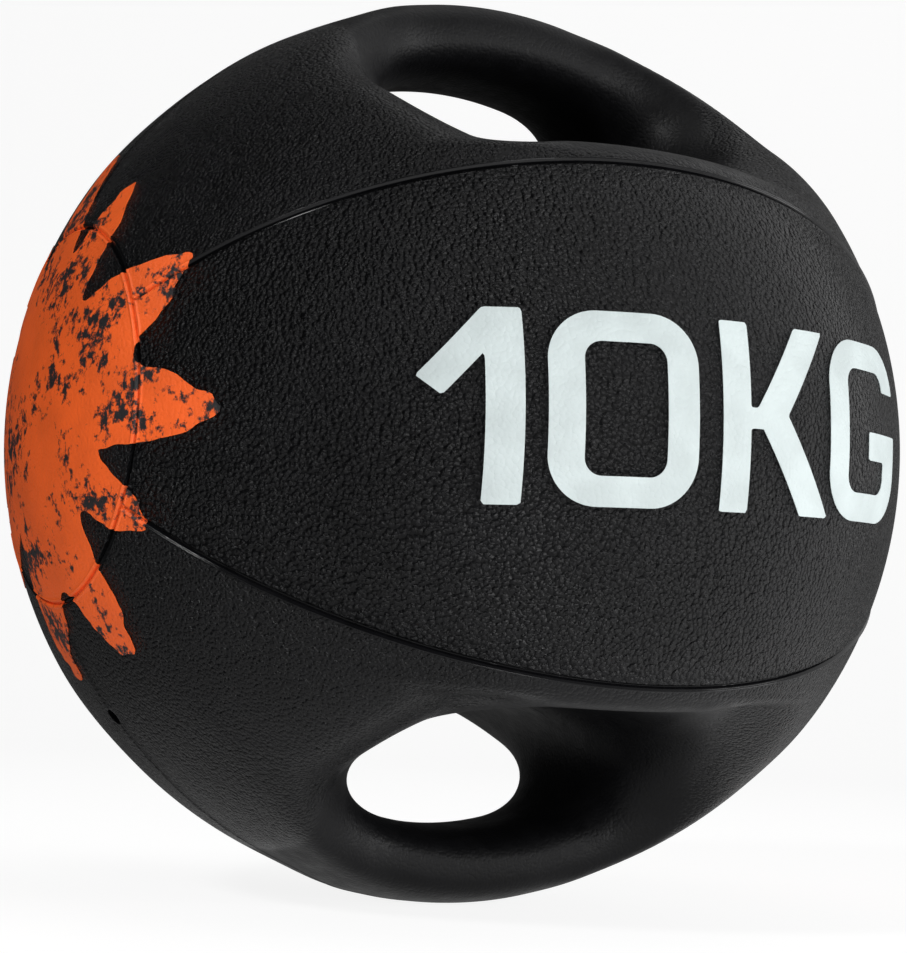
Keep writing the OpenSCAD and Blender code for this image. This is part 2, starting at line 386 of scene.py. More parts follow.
def cut(bm, point, normal, keep_below=False):
    """Cuts along a plane; with keep_below, deletes what is on the normal's side."""
    geometry = bm.verts[:] + bm.edges[:] + bm.faces[:]
    bmesh.ops.bisect_plane(
        bm, geom=geometry, dist=1e-5, plane_co=point, plane_no=normal, clear_outer=keep_below
    )


def seam_normal(phi):
    """Normal of the half plane through the X axis at phi, pointing towards larger phi."""
    return Vector((0, math.sin(phi), math.cos(phi)))


def unroll(bm):
    """Swaps x for theta times the ball's radius, so that a cone about the X axis becomes a plane."""
    points = coordinates(bm)
    on_axis = np.hypot(points[:, 1], points[:, 2]) < 0.001
    points[on_axis, 1] = 0.001
    points[:, 0] = BALL_R * np.arctan2(np.hypot(points[:, 1], points[:, 2]), points[:, 0])
    move_vertices(bm, points)


def roll_up(bm):
    """Undoes unroll."""
    points = coordinates(bm)
    points[:, 0] = np.hypot(points[:, 1], points[:, 2]) / np.tan(points[:, 0] / BALL_R)
    move_vertices(bm, points)


def add_loops(bm, phis, thetas, parting):
    """Cuts loops beside the seams at phis and thetas, so that their grooves have points to bend at."""
    for phi in phis:
        normal = seam_normal(phi)
        for offset in SEAM_LOOPS:
            for side in (-1, 1):
                cut(bm, normal * offset * side, normal)
    if parting:
        for offset in PARTING_LOOPS:
            for side in (-1, 1):
                cut(bm, Vector((0, offset * side, 0)), Vector((0, 1, 0)))
    unroll(bm)
    for theta in thetas:
        for offset in SEAM_LOOPS:
            for side in (-1, 1):
                cut(bm, Vector((BALL_R * theta + offset * side, 0, 0)), Vector((1, 0, 0)))
    roll_up(bm)


def crop(bm, phi_range, theta_range):
    """Keeps what lies between two cones about the X axis and, with a phi_range, two planes through it."""
    if phi_range:
        low, high = phi_range
        cut(bm, seam_normal(low) * HAIRLINE, -seam_normal(low), keep_below=True)
        cut(bm, -seam_normal(high) * HAIRLINE, seam_normal(high), keep_below=True)
    low, high = theta_range
    unroll(bm)
    if low > 0:
        cut(bm, Vector((BALL_R * low + HAIRLINE, 0, 0)), Vector((-1, 0, 0)), keep_below=True)
    cut(bm, Vector((BALL_R * high - HAIRLINE, 0, 0)), Vector((1, 0, 0)), keep_below=True)
    roll_up(bm)
    bmesh.ops.remove_doubles(bm, verts=bm.verts, dist=MERGE)


def rim_chains(bm, phi_range, theta_range):
    """The numbers of the open edge's vertices, sorted along each side of the panel they lie on."""
    rim = np.array([v.index for v in bm.verts if v.is_boundary])
    theta, phi = angles(coordinates(bm)[rim])
    if phi_range is None:
        ring = rim[np.argsort(phi)]
        return [np.append(ring, ring[0])]
    turned = (phi - sum(phi_range) / 2 + math.pi) % (2 * math.pi) - math.pi
    half = (phi_range[1] - phi_range[0]) / 2
    chains = []
    for side in (-half, half):
        near = np.abs(turned - side) * np.sin(theta) * BALL_R < RIM_REACH
        chains.append(rim[near][np.argsort(theta[near])])
    for edge in theta_range:
        near = np.abs(theta - edge) * BALL_R < RIM_REACH
        chains.append(rim[near][np.argsort(turned[near])])
    return chains


def places_along(points, closed):
    """Place of each point along its chain: its angle on a ring, or a share of an open chain's length."""
    if closed:
        _, phi = angles(points)
        phi[-1] += 2 * math.pi
        return phi
    along = np.concatenate([[0], np.cumsum(np.linalg.norm(np.diff(points, axis=0), axis=1))])
    return along / along[-1]


def zip_chains(chain_a, place_a, chain_b, place_b):
    """Triangles that fill the strip between two chains of vertex numbers."""
    triangles = []
    i = j = 0
    while i < len(chain_a) - 1 or j < len(chain_b) - 1:
        b_is_done = j == len(chain_b) - 1
        step_a = b_is_done or (i < len(chain_a) - 1 and place_a[i + 1] <= place_b[j + 1])
        ahead = chain_a[i + 1] if step_a else chain_b[j + 1]
        triangles.append((chain_a[i], chain_b[j], ahead))
        if step_a:
            i += 1
        else:
            j += 1
    return triangles


def close_shell(outer, inner, phi_range, theta_range):
    """Joins an outer skin and an inner skin into one closed shell."""
    outer_points, inner_points = coordinates(outer), coordinates(inner)
    offset = len(outer_points)
    points = np.concatenate([outer_points, inner_points])
    faces = [tuple(v.index for v in face.verts) for face in outer.faces]
    faces += [tuple(v.index + offset for v in reversed(face.verts)) for face in inner.faces]
    outer_chains = rim_chains(outer, phi_range, theta_range)
    inner_chains = rim_chains(inner, phi_range, theta_range)
    for chain_a, chain_b in zip(outer_chains, inner_chains):
        place_a = places_along(outer_points[chain_a], phi_range is None)
        place_b = places_along(inner_points[chain_b], phi_range is None)
        faces += zip_chains(chain_a, place_a, chain_b + offset, place_b)
    outer.free()
    inner.free()
    shell = bmesh_from(points, faces)
    bmesh.ops.recalc_face_normals(shell, faces=shell.faces)
    return shell


def finish_mesh(bm, name):
    """Turns a mesh in millimetres into an object in metres, smooth but for its sharp edges."""
    bmesh.ops.scale(bm, vec=(MM, MM, MM), verts=bm.verts)
    mesh = bpy.data.meshes.new(name)
    bm.to_mesh(mesh)
    bm.free()
    mesh.shade_smooth()
    mesh.set_sharp_from_angle(angle=SHARP_ANGLE)
    piece = bpy.data.objects.new(name, mesh)
    bpy.context.scene.collection.objects.link(piece)
    return piece


# ---- Base skins ------------------------------------------------------------------------------

def settled_sheet(theta, phi, depth):
    """A sheet of quads through a grid of places, moved onto the surface that lies depth inside."""
    places = on_sphere(theta, phi, BALL_R - depth).reshape(-1, 3)
    return bmesh_from(settle(places, depth), grid_faces(*theta.shape))


def belt_skin(spacing, depth):
    """A sheet over the front of the ball, wider than the front panel."""
    margin = math.radians(2)
    rows, columns = int(BALL_R * 2.35 / spacing), int(BALL_R * 1.15 / spacing)
    theta = np.linspace(CAP_ANGLE - margin, math.pi - CAP_ANGLE + margin, rows)
    phi = np.linspace(-SEAM_ANGLE - margin, SEAM_ANGLE + margin, columns)
    return settled_sheet(*np.meshgrid(theta, phi, indexing="ij"), depth)


def cap_skin(spacing, depth):
    """A disc over the +X pole, wider than the end cap, from a square grid bent into a circle."""
    reach = CAP_ANGLE + math.radians(2)
    side = np.linspace(-1, 1, int(2 * BALL_R * reach / spacing))
    u, v = np.meshgrid(side, side, indexing="ij")
    disc_u = u * np.sqrt(1 - v * v / 2)
    disc_v = v * np.sqrt(1 - u * u / 2)
    return settled_sheet(reach * np.hypot(disc_u, disc_v), np.arctan2(disc_v, disc_u), depth)


def grip_skin(spacing, depth):
    """The upper part of the ball with its opening and bar."""
    points, faces = mirrored(*surface_net(spacing, depth), axes=(0, 1))
    middle = points[faces].mean(axis=1)
    theta, phi = angles(middle)
    margin = math.radians(3)
    wanted = (phi > SEAM_ANGLE - margin) & (phi < math.pi - SEAM_ANGLE + margin)
    wanted &= (theta > CAP_ANGLE - margin) & (theta < math.pi - CAP_ANGLE + margin)
    bm = bmesh_from(points, faces[wanted])
    loose = [v for v in bm.verts if not v.link_faces]
    bmesh.ops.delete(bm, geom=loose, context="VERTS")
    return bm


def raise_seams(bm, parting):
    """Presses the grooves into a skin and raises its beads and its parting line."""
    points = coordinates(bm)
    slope = ball_normal(points)
    slope /= np.linalg.norm(slope, axis=1)[:, None]
    radial = outward_from_centre(points)
    on_outside = np.sum(slope * radial, axis=1) > 0.5
    outward = radial * (seam_height(points) * on_outside)[:, None]
    ridge = radial * (parting_height(points) * (parting & on_outside))[:, None]
    move_vertices(bm, points + outward + ridge)


# ---- Panels ----------------------------------------------------------------------------------

def build_panel(skin, phi_range, theta_range, seam_phis, seam_thetas, parting):
    """A closed panel of the cover, with its half of the groove along each of its seams."""
    outer = skin(OUTER_SPACING, 0.0)
    add_loops(outer, seam_phis, seam_thetas, parting)
    crop(outer, phi_range, theta_range)
    raise_seams(outer, parting)
    inner = skin(INNER_SPACING, SKIN_T)
    crop(inner, phi_range, theta_range)
    return close_shell(outer, inner, phi_range, theta_range)


def turned_copy(bm, matrix, flip):
    copy = bm.copy()
    bmesh.ops.transform(copy, matrix=matrix, verts=copy.verts)
    if flip:
        bmesh.ops.reverse_faces(copy, faces=copy.faces)
    return copy


def mirror_matrix(i):
    """Mirrors along axis i."""
    signs = [1, 1, 1, 1]
    signs[i] = -1
    return Matrix.Diagonal(signs)


def build_belts():
    phi_range = (-SEAM_ANGLE, SEAM_ANGLE)
    front = build_panel(belt_skin, phi_range, CAP_THETAS, phi_range, CAP_THETAS, parting=False)
    rear = turned_copy(front, Matrix.Rotation(math.pi, 4, "Z"), flip=False)
    return front, rear


def build_grips():
    phi_range = (SEAM_ANGLE, math.pi - SEAM_ANGLE)
    upper = build_panel(grip_skin, phi_range, CAP_THETAS, phi_range, CAP_THETAS, parting=True)
    lower = turned_copy(upper, mirror_matrix(2), flip=True)
    return upper, lower


def build_caps():
    theta_range = (0, CAP_ANGLE)
    right = build_panel(cap_skin, None, theta_range, (), (CAP_ANGLE,), parting=True)
    left = turned_copy(right, mirror_matrix(0), flip=True)
    return left, right


def drill_valve_hole(panel):
    """Cuts the valve's hole through the lower grip panel."""
    outward = Vector((-math.cos(VALVE_ANGLE), 0, -math.sin(VALVE_ANGLE)))
    radius = VALVE_MOUTH_R * MM
    bm = bmesh.new()
    bmesh.ops.create_cone(bm, cap_ends=True, segments=64, radius1=radius, radius2=radius, depth=20 * MM)
    mesh = bpy.data.meshes.new("drill")
    bm.to_mesh(mesh)
    bm.free()
    drill = bpy.data.objects.new("drill", mesh)
    turn = outward.to_track_quat("Z", "Y").to_matrix().to_4x4()
    drill.matrix_world = Matrix.Translation(outward * BALL_R * MM) @ turn
    bpy.context.scene.collection.objects.link(drill)
    modifier = panel.modifiers.new("valve_hole", "BOOLEAN")
    modifier.object = drill
    modifier.operation = "DIFFERENCE"
    modifier.solver = "EXACT"
    bpy.context.view_layer.update()
    evaluated = panel.evaluated_get(bpy.context.evaluated_depsgraph_get())
    drilled = bpy.data.meshes.new_from_object(evaluated)
    panel.modifiers.clear()
    panel.data = drilled
    bpy.data.objects.remove(drill)


# ---- Prints ----------------------------------------------------------------------------------

def box_distance(u, v, centre, half, corner):
    """Distance to a rounded rectangle."""
    qu = np.abs(u - centre[0]) - half[0] + corner
    qv = np.abs(v - centre[1]) - half[1] + corner
    return np.hypot(np.maximum(qu, 0), np.maximum(qv, 0)) + np.minimum(np.maximum(qu, qv), 0) - corner


def stroke_distance(u, v, start, end, width):
    """Distance to a straight stroke with square ends."""
    run = np.subtract(end, start)
    length = math.hypot(*run)
    along = ((u - start[0]) * run[0] + (v - start[1]) * run[1]) / length
    across = ((v - start[1]) * run[0] - (u - start[0]) * run[1]) / length
    return box_distance(along, across, (length / 2, 0), (length / 2, width / 2), 0.3)


def ring_distance(u, v, left, width):
    """Distance to a rounded frame standing on the base line."""
    centre = (left + width / 2, MARK_H / 2)
    outer = box_distance(u, v, centre, (width / 2, MARK_H / 2), MARK_CORNER_R)
    inner_half = (width / 2 - MARK_STROKE, MARK_H / 2 - MARK_LEVEL)
    inner = box_distance(u, v, centre, inner_half, MARK_INNER_R)
    return np.maximum(outer, -inner)


def figure_one(u, v, left):
    """An upright stem with a sloping flag at its top left."""
    stem_left = left + MARK_H * 0.52 - MARK_STROKE
    stem = box_distance(
        u, v, (stem_left + MARK_STROKE / 2, MARK_H / 2), (MARK_STROKE / 2, MARK_H / 2), 0.5
    )
    slope = math.radians(FLAG_SLOPE)
    half = FLAG_W / 2
    end = (stem_left + math.sin(slope) * half, MARK_H - math.cos(slope) * half)
    start = (end[0] - math.cos(slope) * FLAG_L, end[1] - math.sin(slope) * FLAG_L)
    return np.minimum(stem, stroke_distance(u, v, start, end, FLAG_W))


def figure_nought(u, v, left):
    return ring_distance(u, v, left, MARK_H * 0.82)


def letter_k(u, v, left):
    """A stem, a short bridge, and two slanting strokes cut level at their far ends."""
    def slant(start, end):
        start, end = np.multiply(start, MARK_H), np.multiply(end, MARK_H)
        return stroke_distance(u - left, v, start, end, MARK_STROKE * 1.07)

    half = MARK_STROKE / 2
    stem = box_distance(u, v, (left + half, MARK_H / 2), (half, MARK_H / 2), 0.5)
    bridge_middle = (left + half + MARK_H * 0.15, MARK_H * 0.495)
    bridge = box_distance(u, v, bridge_middle, (MARK_H * 0.15, MARK_H * 0.055), 0.3)
    slants = np.minimum(slant((0.28, 0.44), (0.7, 1.06)), slant((0.31, 0.56), (0.745, -0.06)))
    slants = np.maximum(slants, np.abs(v - MARK_H / 2) - MARK_H / 2)
    return np.minimum.reduce([stem, bridge, slants])


def letter_g(u, v, left):
    """A rounded frame with a gap at its upper right, and a bar below the gap."""
    width = MARK_H * 0.8
    ring = ring_distance(u, v, left, width)
    gap = box_distance(u, v, (left + width, MARK_H * 0.62), (1.2 * MARK_STROKE, MARK_H * 0.12), 0.3)
    bar = box_distance(
        u, v, (left + width * 0.76, MARK_H * 0.5 - MARK_LEVEL / 2), (width * 0.24, MARK_LEVEL / 2), 0.5
    )
    return np.minimum(np.maximum(ring, -gap), bar)


def weight_distance(u, v):
    """Distance to the weight mark: figures and a unit, in plain strokes."""
    tilt = math.radians(MARK_TILT)
    v = v - MARK_Z
    right = u * math.cos(tilt) + v * math.sin(tilt)
    up = v * math.cos(tilt) - u * math.sin(tilt) + MARK_H / 2
    glyphs = [
        figure_one(right, up, -79),
        figure_nought(right, up, -45.5),
        letter_k(right, up, 6),
        letter_g(right, up, 49.5),
    ]
    return np.minimum.reduce(glyphs)


def wobble(u, v, size, seed):
    """A smooth wave pattern that never repeats over the print, between about -1 and 1."""
    rng = np.random.default_rng(seed)
    total = 0
    for _ in range(6):
        direction, phase = rng.uniform(0, 2 * math.pi, 2)
        pitch = size * rng.uniform(0.6, 1.5)
        along = u * math.cos(direction) + v * math.sin(direction)
        total = total + np.sin(along * 2 * math.pi / pitch + phase)
    return total / 3


def burst_distance(u, v):
    """Distance to a splash of ink: uneven rays with ragged edges."""
    turn = np.arctan2(v, u)
    rays = np.sin(BURST_RAYS * turn + 0.52 * np.sin(3 * turn))
    lean = np.sin(4 * turn + 0.87)
    splash = np.hypot(u, v) - BURST_R * (0.74 + 0.17 * rays + 0.09 * lean)
    return splash * 0.6 + 1.2 * wobble(u, v, 14, 3) + 0.5 * wobble(u, v, 5, 4)


def ink_sheet(distance, half_width, half_height, spacing, place):
    """Fills distance < 0 with small faces, clipped to its outline, and lays them on the ball."""
    u_axis = np.arange(-half_width, half_width + spacing, spacing)
    v_axis = np.arange(-half_height, half_height + spacing, spacing)
    u, v = np.meshgrid(u_axis, v_axis, indexing="ij")
    value = distance(u, v)
    inside = value < 0
    flat, faces, grid_number, edge_number = [], [], {}, {}

    def corner(i, j):
        if (i, j) not in grid_number:
            grid_number[i, j] = len(flat)
            flat.append((u_axis[i], v_axis[j]))
        return grid_number[i, j]

    def crossing(a, b):
        key = (min(a, b), max(a, b))
        if key not in edge_number:
            share = value[a] / (value[a] - value[b])
            edge_number[key] = len(flat)
            u_place = u_axis[a[0]] + share * (u_axis[b[0]] - u_axis[a[0]])
            v_place = v_axis[a[1]] + share * (v_axis[b[1]] - v_axis[a[1]])
            flat.append((u_place, v_place))
        return edge_number[key]

    touched = inside[:-1, :-1] | inside[1:, :-1] | inside[1:, 1:] | inside[:-1, 1:]
    for i, j in np.argwhere(touched):
        ring = [(i, j), (i + 1, j), (i + 1, j + 1), (i, j + 1)]
        face = []
        for a, b in zip(ring, ring[1:] + ring[:1]):
            if inside[a]:
                face.append(corner(*a))
            if inside[a] != inside[b]:
                face.append(crossing(a, b))
        if len(face) > 2:
            faces.append(face)
    bm = bmesh_from(place(np.array(flat)), faces, merge=INK_MERGE)
    bmesh.ops.dissolve_degenerate(bm, edges=bm.edges, dist=INK_MERGE)
    return bm


def thicken_ink(bm):
    """Gives a sheet that lies on the ball's outside its dips at the grooves, its lift and its thickness."""
    points = settle(coordinates(bm))
    height = seam_height(points) + INK_LIFT
    move_vertices(bm, points + outward_from_centre(points) * height[:, None])
    rim = [edge for edge in bm.edges if edge.is_boundary]
    top = bmesh.ops.duplicate(bm, geom=bm.verts[:] + bm.edges[:] + bm.faces[:])
    above = top["vert_map"]
    for copied in top["geom"]:
        if isinstance(copied, bmesh.types.BMVert):
            copied.co += copied.co.normalized() * INK_T
    for edge in rim:
        a, b = edge.verts
        bm.faces.new([a, b, above[b], above[a]])
    bmesh.ops.recalc_face_normals(bm, faces=bm.faces)
    return bm


def depth_of_ball(flat):
    """How far out the ball lies behind each point of a flat print."""
    return np.sqrt(BALL_R ** 2 - flat[:, 0] ** 2 - flat[:, 1] ** 2)


def build_weight_marks():
    def on_front(flat):
        return np.stack([flat[:, 0], -depth_of_ball(flat), flat[:, 1]], axis=1)

    front = thicken_ink(
        ink_sheet(weight_distance, half_width=100, half_height=32, spacing=0.9, place=on_front)
    )
    rear = turned_copy(front, Matrix.Rotation(math.pi, 4, "Z"), flip=False)
    return front, rear


def build_cap_prints():
    def on_left(flat):
        return np.stack([-depth_of_ball(flat), flat[:, 1], flat[:, 0]], axis=1)

    splash = ink_sheet(burst_distance, half_width=90, half_height=90, spacing=1.2, place=on_left)
    add_loops(splash, (SEAM_ANGLE, math.pi - SEAM_ANGLE), (math.pi - CAP_ANGLE,), parting=False)
    left = thicken_ink(splash)
    right = turned_copy(left, mirror_matrix(0), flip=True)
    return left, right


def mark_grain(piece, seam_margin):
    """Stores the strength of the moulded grain: none at the seams, faint on the bars and in the openings."""
    mesh = piece.data
    points = np.empty(len(mesh.vertices) * 3)
    mesh.vertices.foreach_get("co", points)
    points = points.reshape(-1, 3) / MM
    away = opening_distance(np.abs(points[:, 0]), np.abs(points[:, 2]))
    share = GRAIN_ON_BARS + (1 - GRAIN_ON_BARS) * smooth_step(away, *GRAIN_FADE)
    share *= smooth_step(seam_distance(points), seam_margin, seam_margin + SMOOTH_EDGE)
    mesh.attributes.new(GRAIN_ATTRIBUTE, "FLOAT", "POINT").data.foreach_set("value", share)


# ---- Materials -------------------------------------------------------------------------------

class Nodes:
    """A short way to write a material's node tree."""

    def __init__(self, name):
        self.material = bpy.data.materials.new(name)
        self.material.use_nodes = True
        self.tree = self.material.node_tree
        self.tree.nodes.clear()
        self.shader = self.add("ShaderNodeBsdfPrincipled")
        output = self.add("ShaderNodeOutputMaterial")
        self.link(self.shader.outputs[0], output.inputs["Surface"])
        self.place = self.add("ShaderNodeTexCoord").outputs["Object"]

    def add(self, kind, **settings):
        node = self.tree.nodes.new(kind)
        for key, value in settings.items():
            setattr(node, key, value)
        return node

    def link(self, source, target):
        self.tree.links.new(source, target)

    def put(self, target, value):
        if isinstance(value, bpy.types.NodeSocket):
            self.link(value, target)
        else:
            target.default_value = value

    def math(self, operation, a, b=0.0):
        node = self.add("ShaderNodeMath", operation=operation)
        self.put(node.inputs[0], a)
        self.put(node.inputs[1], b)
        return node.outputs[0]

    def noise(self, pitch_mm, detail=2.0, roughness=0.5):
        """Noise between about 0 and 1, whose features are about pitch_mm across."""
        node = self.add("ShaderNodeTexNoise")
        self.link(self.place, node.inputs["Vector"])
        node.inputs["Scale"].default_value = 1 / (pitch_mm * MM)
        node.inputs["Detail"].default_value = detail
        node.inputs["Roughness"].default_value = roughness
        return node.outputs["Fac"]

    def warped(self, pitch_mm, amount_mm):
        """The object's coordinates, shifted about by noise."""
        node = self.add("ShaderNodeTexNoise")
        self.link(self.place, node.inputs["Vector"])
        node.inputs["Scale"].default_value = 1 / (pitch_mm * MM)
        offset = self.add("ShaderNodeVectorMath", operation="SUBTRACT")
        self.link(node.outputs["Color"], offset.inputs[0])
        offset.inputs[1].default_value = (0.5, 0.5, 0.5)
        scale = self.add("ShaderNodeVectorMath", operation="SCALE")
        self.link(offset.outputs[0], scale.inputs[0])
        scale.inputs["Scale"].default_value = amount_mm * MM
        total = self.add("ShaderNodeVectorMath", operation="ADD")
        self.link(self.place, total.inputs[0])
        self.link(scale.outputs[0], total.inputs[1])
        return total.outputs[0]

    def pebbles(self, pitch_mm, place):
        """Rounded pebbles about pitch_mm across, with creases between them and a height of 1."""
        node = self.add("ShaderNodeTexVoronoi", feature="F1")
        self.link(place, node.inputs["Vector"])
        node.inputs["Scale"].default_value = 1 / (pitch_mm * MM)
        distance = node.outputs["Distance"]
        return self.math("SUBTRACT", 1.0, self.math("MULTIPLY", distance, distance))

    def remap(self, value, low, high, to_low, to_high):
        node = self.add("ShaderNodeMapRange")
        self.put(node.inputs["Value"], value)
        node.inputs["From Min"].default_value = low
        node.inputs["From Max"].default_value = high
        node.inputs["To Min"].default_value = to_low
        node.inputs["To Max"].default_value = to_high
        return node.outputs["Result"]

    def blend_colours(self, share, first, second):
        node = self.add("ShaderNodeMix", data_type="RGBA")
        self.put(node.inputs["Factor"], share)
        colour_inputs = [s for s in node.inputs if s.type == "RGBA"]
        self.put(colour_inputs[0], first)
        self.put(colour_inputs[1], second)
        return [s for s in node.outputs if s.type == "RGBA"][0]

    def bump(self, height, depth_mm):
        node = self.add("ShaderNodeBump")
        node.inputs["Strength"].default_value = 1.0
        node.inputs["Distance"].default_value = depth_mm * MM
        self.link(height, node.inputs["Height"])
        return node.outputs["Normal"]


def grain_height(n, pitch_mm):
    """Height of moulded leather grain: joined pebbles of uneven size, with finer grit on them."""
    place = n.warped(pitch_mm * 1.5, pitch_mm * 0.8)
    dome = n.pebbles(pitch_mm, place)
    grit = n.noise(pitch_mm * 0.5, detail=2, roughness=0.6)
    return n.math("ADD", n.math("MULTIPLY", dome, 0.8), n.math("MULTIPLY", grit, 0.25))


def rubber(name, base, pitch_mm, depth_mm, rough, moulded=False):
    """Moulded black rubber with grain, uneven sheen and a little grey bloom."""
    n = Nodes(name)
    grain = grain_height(n, pitch_mm)
    if moulded:
        share = n.add("ShaderNodeAttribute", attribute_name=GRAIN_ATTRIBUTE).outputs["Fac"]
        grain = n.math("MULTIPLY", grain, share)
    bloom = n.noise(38, detail=3)
    scuffs = n.noise(6, detail=4, roughness=0.65)
    dark = tuple(c * 0.75 for c in base) + (1,)
    pale = tuple(c * 1.4 + 0.001 for c in base) + (1,)
    shade = n.math("ADD", n.math("MULTIPLY", bloom, 0.6), n.math("MULTIPLY", scuffs, 0.4))
    n.link(n.blend_colours(n.remap(shade, 0.35, 0.65, 0, 1), dark, pale), n.shader.inputs["Base Color"])
    sheen = n.remap(scuffs, 0.3, 0.7, rough - 0.06, rough + 0.07)
    if moulded:
        off_bars = n.math("ABSOLUTE", n.math("SUBTRACT", share, GRAIN_ON_BARS))
        sheen = n.math("ADD", sheen, n.remap(off_bars, 0, GRAIN_ON_BARS, BAR_DULLNESS, 0))
        sheen = n.math("MULTIPLY", sheen, n.remap(share, 0, GRAIN_ON_BARS / 2, SEAM_GLOSS, 1))
    n.link(sheen, n.shader.inputs["Roughness"])
    n.shader.inputs["Specular IOR Level"].default_value = RUBBER_SHINE
    n.link(n.bump(grain, depth_mm), n.shader.inputs["Normal"])
    return n.material


def ink(name, colour, wear, pitch_mm, depth_mm):
    """Printed ink over the grain; where it is worn the rubber shows between the pebbles."""
    n = Nodes(name)
    grain = grain_height(n, pitch_mm)
    patch = n.noise(22, detail=5, roughness=0.6)
    cracks = n.noise(3.2, detail=5, roughness=0.7)
    tint = n.noise(15, detail=2)
    deep = tuple(c * 0.86 for c in colour) + (1,)
    full = tuple(colour) + (1,)
    printed = n.blend_colours(n.remap(tint, 0.35, 0.65, 0, 1), deep, full)
    loss = n.math("ADD", n.math("MULTIPLY", patch, 0.55), n.math("MULTIPLY", cracks, 0.45))
    worn = n.remap(loss, 0.62 - wear, 0.66 - wear, 0, 1)
    rubber_colour = (0.012, 0.012, 0.013, 1)
    n.link(n.blend_colours(worn, printed, rubber_colour), n.shader.inputs["Base Color"])
    n.shader.inputs["Roughness"].default_value = 0.55
    n.link(n.bump(grain, depth_mm), n.shader.inputs["Normal"])
    return n.material


def make_materials():
    return {
        "belt_rubber": rubber("belt_rubber", (0.0025, 0.0025, 0.003), 1.3, 2.1, 0.25, moulded=True),
        "grip_rubber": rubber("grip_rubber", (0.0025, 0.0025, 0.003), 1.05, 1.15, 0.28, moulded=True),
        "cap_rubber": rubber("cap_rubber", (0.0025, 0.0025, 0.003), 1.1, 1.2, 0.3, moulded=True),
        "carcass_rubber": rubber("carcass_rubber", (0.05, 0.043, 0.038), 2.0, 0.15, 0.7),
        "butyl": rubber("butyl", (0.06, 0.06, 0.065), 0.6, 0.05, 0.5),
        "valve_rubber": rubber("valve_rubber", (0.02, 0.02, 0.022), 0.5, 0.04, 0.4),
        "white_ink": ink("white_ink", (0.53, 0.595, 0.595), -0.2, 1.3, 0.16),
        "orange_ink": ink("orange_ink", (1.0, 0.135, 0.014), 0.1, 1.0, 0.16),
    }


# ---- Putting the ball together ---------------------------------------------------------------

def add_piece(bm, node, name, slot, materials):
    piece = finish_mesh(bm, name)
    piece.data.materials.append(materials[slot])
    if slot in MOULDED_SLOTS:
        mark_grain(piece, BEAD_MIDDLE if slot == "grip_rubber" else GROOVE_HALF / 2)
    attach(piece, "root")
    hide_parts(node)
    return piece


def build_ball(materials):
    front, rear = build_belts()
    upper, lower = build_grips()
    left, right = build_caps()
    front_mark, rear_mark = build_weight_marks()
    left_print, right_print = build_cap_prints()
    add_piece(front, "front_panel", "front_belt", "belt_rubber", materials)
    add_piece(rear, "rear_panel", "rear_belt", "belt_rubber", materials)
    add_piece(upper, "upper_grip_panel", "upper_grip_skin", "grip_rubber", materials)
    lower_skin = add_piece(lower, "lower_grip_panel", "lower_grip_skin", "grip_rubber", materials)
    drill_valve_hole(lower_skin)
    add_piece(left, "left_end_cap", "left_cap_skin", "cap_rubber", materials)
    add_piece(right, "right_end_cap", "right_cap_skin", "cap_rubber", materials)
    add_piece(front_mark, "front_weight_mark", "front_mark_ink", "white_ink", materials)
    add_piece(rear_mark, "rear_weight_mark", "rear_mark_ink", "white_ink", materials)
    add_piece(left_print, "left_cap_print", "left_print_ink", "orange_ink", materials)
    add_piece(right_print, "right_cap_print", "right_print_ink", "orange_ink", materials)


def dress_hidden_parts(materials):
    """Gives the carcass, bladder and valve, which keep their CAD shapes, their own rubbers."""
    slots = {
        "front_carcass": "carcass_rubber",
        "rear_carcass": "carcass_rubber",
        "bladder": "butyl",
        "valve_body": "valve_rubber",
        "valve_insert": "valve_rubber",
    }
    for node, slot in slots.items():
        for material_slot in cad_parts[node].material_slots:
            material_slot.material = materials[slot]


# ---- Studio ----------------------------------------------------------------------------------

def direction(turn, rise):
    """A direction from the ball, turned from the front towards the right and raised, in radians."""
    return Vector((math.sin(turn) * math.cos(rise), -math.cos(turn) * math.cos(rise), math.sin(rise)))


def camera_side(azimuth, elevation):
    """A direction from the ball, by its angle to the right of the camera and its height, in degrees."""
    return direction(VIEW_AZIMUTH + math.radians(azimuth), math.radians(elevation))


def make_paper():
    """Matt white paper that looks evenly lit, and lights the ball from its right side only."""
    n = Nodes("studio_paper")
    n.shader.inputs["Roughness"].default_value = 0.9
    n.shader.inputs["Specular IOR Level"].default_value = 0.2
    shade = n.blend_colours(n.noise(4, detail=4), (0.2, 0.2, 0.2, 1), (0.22, 0.22, 0.22, 1))
    n.link(shade, n.shader.inputs["Base Color"])
    n.shader.inputs["Emission Color"].default_value = (1, 1, 1, 1)
    seen = n.add("ShaderNodeLightPath").outputs["Is Camera Ray"]
    facing = n.add("ShaderNodeVectorMath", operation="DOT_PRODUCT")
    n.link(n.place, facing.inputs[0])
    facing.inputs[1].default_value = camera_side(40, 0)
    glow_on_ball = n.remap(facing.outputs["Value"], -0.2, 0.5, PAPER_DIM, PAPER_BRIGHT)
    unseen = n.math("MULTIPLY", glow_on_ball, n.math("SUBTRACT", 1.0, seen))
    glow = n.math("ADD", n.math("MULTIPLY", seen, PAPER_GLOW), unseen)
    n.link(glow, n.shader.inputs["Emission Strength"])
    return n.material


